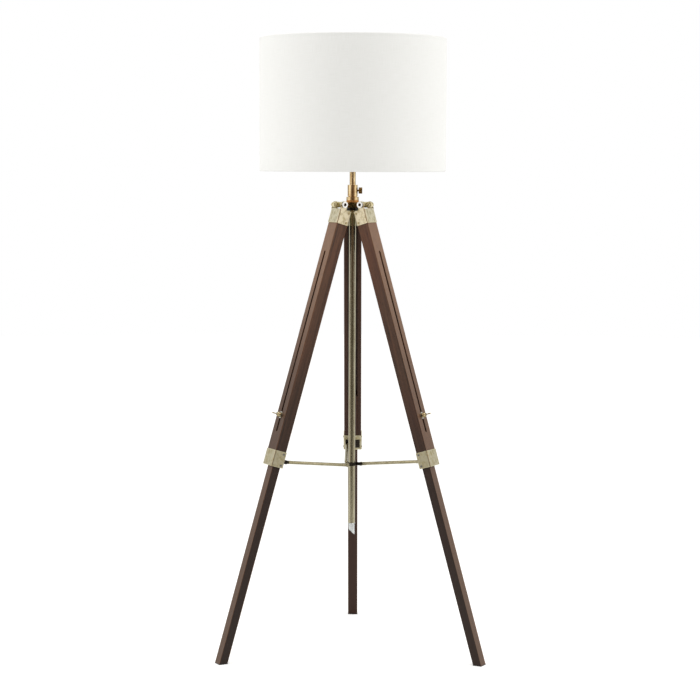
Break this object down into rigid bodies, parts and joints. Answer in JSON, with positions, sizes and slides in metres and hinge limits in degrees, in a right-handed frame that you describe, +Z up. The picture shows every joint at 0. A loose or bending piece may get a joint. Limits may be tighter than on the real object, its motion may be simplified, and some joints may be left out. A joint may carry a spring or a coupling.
{
  "type": "tripod floor lamp",
  "caption": "Floor lamp with a drum shade on a telescopic post, standing on folding wooden tripod legs that extend, joined by a sliding spreader.",
  "frame": {"origin": "on the floor at the centre of the circle through the three feet, under the lamp's axis", "axes": "+Z up along the lamp's axis, +Y towards the back leg, +X towards the thumb screw"},
  "size_m": [0.6618, 0.6049, 1.5235],
  "materials": {
    "stained_wood": "dark walnut stain, satin",
    "antique_brass": "antique brass, brushed",
    "blackened_steel": "blackened",
    "bright_steel": "bright",
    "black_felt": "felt",
    "clear_plastic": "clear",
    "black_plastic": "matt",
    "white_ceramic": "glazed",
    "bulb_glass": "frosted",
    "shade_fabric": "off-white cotton on a stiff liner",
    "white_wire": "white enamel"
  },
  "bodies": {
    "frame": {"hub": "antique_brass", "hinge_bolts": "bright_steel", "hinge_nuts": "bright_steel", "stop_bolts": "antique_brass", "stop_nuts": "antique_brass", "centre_tube": "antique_brass", "lock_nut": "blackened_steel", "lower_ring": "antique_brass", "upper_ring": "antique_brass", "clamp_sleeve": "antique_brass", "cable_outlet": "clear_plastic"},
    "leg_1": {"upper_leg_1": "stained_wood", "leg_cap_1": "antique_brass", "collar_1": "antique_brass", "wood_screws_1": "antique_brass", "rod_bracket_1": "blackened_steel", "rod_pin_1": "blackened_steel"},
    "leg_2": {"upper_leg_2": "stained_wood", "leg_cap_2": "antique_brass", "collar_2": "antique_brass", "wood_screws_2": "antique_brass", "rod_bracket_2": "blackened_steel", "rod_pin_2": "blackened_steel"},
    "leg_3": {"upper_leg_3": "stained_wood", "leg_cap_3": "antique_brass", "collar_3": "antique_brass", "wood_screws_3": "antique_brass", "rod_bracket_3": "blackened_steel", "rod_pin_3": "blackened_steel"},
    "lower_leg_1": {"lower_leg_1": "stained_wood", "foot_pad_1": "black_felt", "clamp_bolt_1": "bright_steel", "washer_1": "bright_steel"},
    "lower_leg_2": {"lower_leg_2": "stained_wood", "foot_pad_2": "black_felt", "clamp_bolt_2": "bright_steel", "washer_2": "bright_steel"},
    "lower_leg_3": {"lower_leg_3": "stained_wood", "foot_pad_3": "black_felt", "clamp_bolt_3": "bright_steel", "washer_3": "bright_steel"},
    "wing_1": {"wing_nut_1": "antique_brass"},
    "wing_2": {"wing_nut_2": "antique_brass"},
    "wing_3": {"wing_nut_3": "antique_brass"},
    "rod_1": {"spreader_rod_1": "antique_brass"},
    "rod_2": {"spreader_rod_2": "antique_brass"},
    "rod_3": {"spreader_rod_3": "antique_brass"},
    "ring": {"spreader_ring": "blackened_steel"},
    "lamp": {"post": "antique_brass", "lampholder_cup": "black_plastic", "lampholder_shell": "black_plastic", "contact_plate": "white_ceramic", "shade_nuts": "black_plastic", "bulb_cap": "bright_steel", "bulb_glass": "bulb_glass", "shade_drum": "shade_fabric", "top_wire_ring": "white_wire", "shade_carrier": "white_wire"},
    "thumb": {"thumb_screw": "antique_brass"}
  },
  "joints": [
    {"name": "fold_1", "type": "hinge", "parent": "frame", "child": "leg_1", "pos_m": [0, 0.0358, 1.1155], "axis": [-1, 0, 0], "range_deg": [0, 7.49]},
    {"name": "spreader_1", "type": "hinge", "parent": "leg_1", "child": "rod_1", "pos_m": [0, 0.19352, 0.48605], "axis": [-1, 0, 0], "range_deg": [-60.04, 0]},
    {"name": "extend_1", "type": "slide", "parent": "leg_1", "child": "lower_leg_1", "axis": [0, 0.2924, -0.9563], "range_m": [-0.4155, 0.0385]},
    {"name": "wing_turn_1", "type": "hinge", "parent": "lower_leg_1", "child": "wing_1", "pos_m": [0, 0.20268, 0.60335], "axis": [0, 0.9563, 0.2924], "continuous": true},
    {"name": "fold_2", "type": "hinge", "parent": "frame", "child": "leg_2", "pos_m": [-0.031, -0.0179, 1.1155], "axis": [0.5, -0.866, 0], "range_deg": [0, 7.5]},
    {"name": "spreader_2", "type": "hinge", "parent": "leg_2", "child": "rod_2", "pos_m": [-0.16759, -0.09676, 0.48605], "axis": [0.5, -0.866, 0], "range_deg": [-60.04, 0]},
    {"name": "extend_2", "type": "slide", "parent": "leg_2", "child": "lower_leg_2", "axis": [-0.2532, -0.1462, -0.9563], "range_m": [-0.4155, 0.0385]},
    {"name": "wing_turn_2", "type": "hinge", "parent": "lower_leg_2", "child": "wing_2", "pos_m": [-0.17552, -0.10134, 0.60335], "axis": [-0.8282, -0.4782, 0.2924], "continuous": true},
    {"name": "fold_3", "type": "hinge", "parent": "frame", "child": "leg_3", "pos_m": [0.031, -0.0179, 1.1155], "axis": [0.5, 0.866, 0], "range_deg": [0, 7.5]},
    {"name": "spreader_3", "type": "hinge", "parent": "leg_3", "child": "rod_3", "pos_m": [0.16759, -0.09676, 0.48605], "axis": [0.5, 0.866, 0], "range_deg": [-60.04, 0]},
    {"name": "extend_3", "type": "slide", "parent": "leg_3", "child": "lower_leg_3", "axis": [0.2532, -0.1462, -0.9563], "range_m": [-0.4155, 0.0385]},
    {"name": "wing_turn_3", "type": "hinge", "parent": "lower_leg_3", "child": "wing_3", "pos_m": [0.17552, -0.10134, 0.60335], "axis": [0.8282, -0.4782, 0.2924], "continuous": true},
    {"name": "ring_slide", "type": "slide", "parent": "frame", "child": "ring", "axis": [0, 0, -1], "range_m": [0, 0.1453]},
    {"name": "height", "type": "slide", "parent": "frame", "child": "lamp", "axis": [0, 0, 1], "range_m": [-0.038, 0.3]},
    {"name": "thumb_turn", "type": "hinge", "parent": "frame", "child": "thumb", "pos_m": [0.0193, 0, 1.15], "axis": [1, 0, 0], "continuous": true}
  ],
  "couplings": [
    {"joint": "spreader_1", "follows": "fold_1", "ratio": -8.0096},
    {"joint": "fold_2", "follows": "fold_1", "ratio": 1},
    {"joint": "spreader_2", "follows": "fold_1", "ratio": -8.0096},
    {"joint": "fold_3", "follows": "fold_1", "ratio": 1},
    {"joint": "spreader_3", "follows": "fold_1", "ratio": -8.0096},
    {"joint": "ring_slide", "follows": "fold_1", "m_per_rad": 1.1108}
  ]
}
